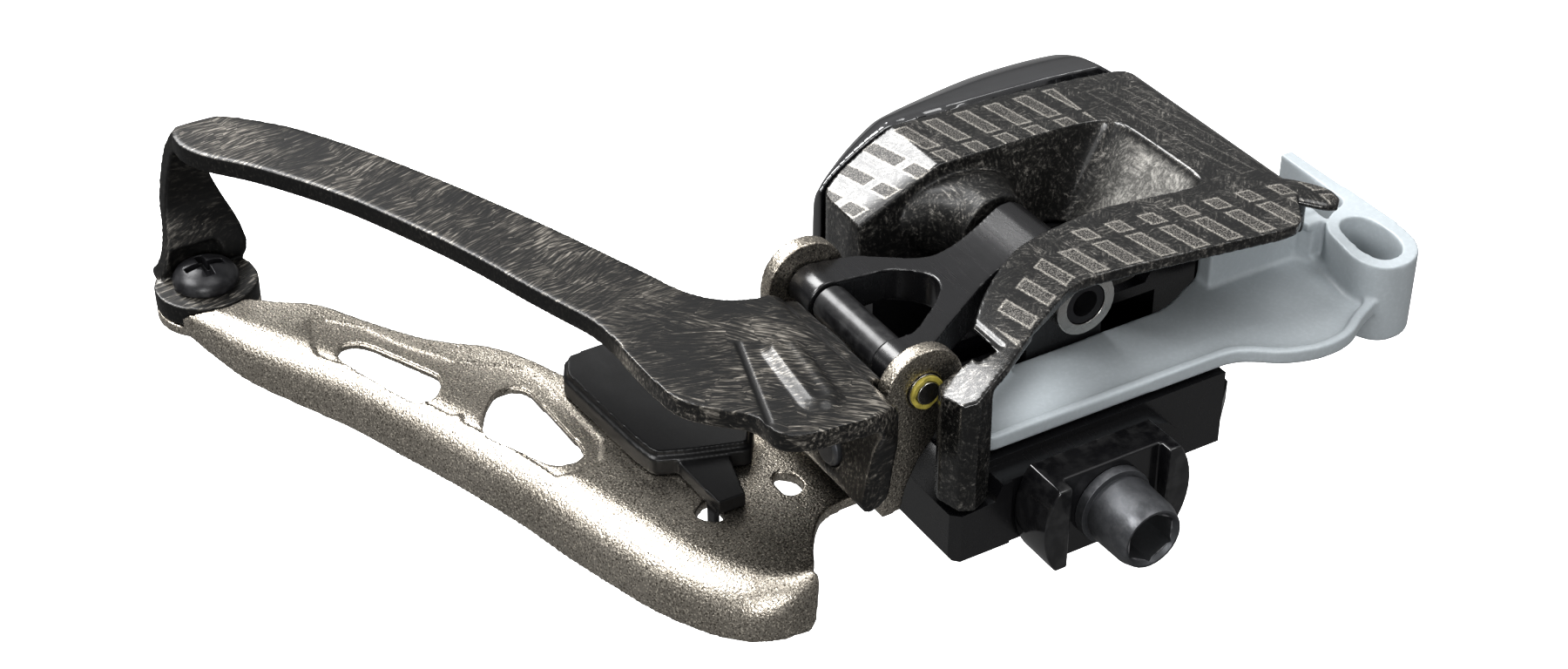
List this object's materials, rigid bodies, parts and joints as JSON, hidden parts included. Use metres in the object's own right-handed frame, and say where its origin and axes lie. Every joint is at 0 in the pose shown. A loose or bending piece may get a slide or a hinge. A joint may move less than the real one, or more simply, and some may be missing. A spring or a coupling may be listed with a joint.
{
  "type": "front derailleur",
  "caption": "Electric front derailleur with a steel inner cage plate, a carbon outer arm, a parallelogram link pair, a worm drive in a carbon shell and a bolt-on mount.",
  "frame": {"origin": "middle of the flat seat pad on the mount boss's front face, 14 mm below the mount bolt's axis", "axes": "+X forward on the bicycle, along the mount bolt and the pivot pins, out of the boss's front face; +Y up, along the seat tube; +Z outboard, away from the seat tube"},
  "size_m": [0.1173, 0.1394, 0.0285],
  "materials": {
    "mount_alloy": "black anodised, satin",
    "washer_gloss": "moulded black, glossy",
    "black_steel": "black oxide, fine grained",
    "shell_carbon": "forged short-fibre carbon, clear coated",
    "housing_plastic": "moulded black, matt",
    "cover_gloss": "glossy black",
    "board": "solder-mask green",
    "bright_steel": "ground steel",
    "bronze": "sintered bronze",
    "link_alloy": "black anodised, satin",
    "tube_black": "black tube, semi gloss",
    "plate_nickel": "bead blasted, warm nickel",
    "arm_carbon": "forged carbon, clear coated, glossy",
    "pad_plastic": "moulded black, satin",
    "cover_grey": "moulded blue-grey, satin"
  },
  "bodies": {
    "body": {"mount_body": "mount_alloy", "mount_washer": "washer_gloss", "carbon_shell": "shell_carbon", "motor_housing": "housing_plastic", "rear_cover": "cover_gloss", "circuit_board": "board", "drive_motor": "bright_steel", "worm_bush_front": "bronze", "worm_bush_rear": "bronze", "front_pivot_bush": "bright_steel", "rear_pivot_bush": "bronze", "inner_link_body_pin": "bright_steel", "contact_block": "housing_plastic"},
    "outer_link": {"outer_link": "link_alloy", "output_shaft": "black_steel", "drive_sector": "bright_steel", "shaft_clip": "black_steel", "pivot_sleeve": "tube_black"},
    "inner_link": {"inner_link": "link_alloy"},
    "cage": {"inner_cage_plate": "plate_nickel", "outer_cage_plate": "arm_carbon", "tail_screw": "black_steel", "cage_bolt_front": "black_steel", "cage_bolt_rear": "black_steel", "anti_chafe_pad": "pad_plastic", "cage_pivot_pin": "bright_steel", "inner_link_cage_pin": "bright_steel"},
    "worm": {"worm_shaft": "bright_steel"},
    "mount_bolt": {"mount_bolt": "black_steel"},
    "limit_screw": {"set_screw": "black_steel"},
    "bay_cover": {"battery_bay_cover": "cover_grey"}
  },
  "joints": [
    {"name": "outer_link_hinge", "type": "hinge", "parent": "body", "child": "outer_link", "pos_m": [-0.0265, 0.0219, 0.0156], "axis": [-1, 0, 0], "range_deg": [0, 20]},
    {"name": "inner_link_hinge", "type": "hinge", "parent": "body", "child": "inner_link", "pos_m": [-0.022, 0.0219, 0.0041], "axis": [-1, 0, 0], "range_deg": [0, 20]},
    {"name": "cage_hinge", "type": "hinge", "parent": "outer_link", "child": "cage", "pos_m": [-0.0213, -0.0053, 0.0162], "axis": [-1, 0, 0], "range_deg": [-20, 0]},
    {"name": "worm_spin", "type": "hinge", "parent": "body", "child": "worm", "pos_m": [-0.044, 0.0219, 0.0044], "axis": [0, 1, 0], "range_deg": [0, 560]},
    {"name": "mount_bolt_turn", "type": "hinge", "parent": "body", "child": "mount_bolt", "pos_m": [0, 0.014, 0], "axis": [1, 0, 0], "continuous": true},
    {"name": "limit_screw_turn", "type": "hinge", "parent": "body", "child": "limit_screw", "pos_m": [-0.008, 0.0326, 0], "axis": [0, 0, 1], "continuous": true},
    {"name": "bay_cover_slide", "type": "slide", "parent": "body", "child": "bay_cover", "axis": [0, 1, 0], "range_m": [0, 0.045]}
  ],
  "couplings": [
    {"joint": "inner_link_hinge", "follows": "outer_link_hinge", "ratio": 1},
    {"joint": "cage_hinge", "follows": "outer_link_hinge", "ratio": -1},
    {"joint": "worm_spin", "follows": "outer_link_hinge", "ratio": 28}
  ]
}
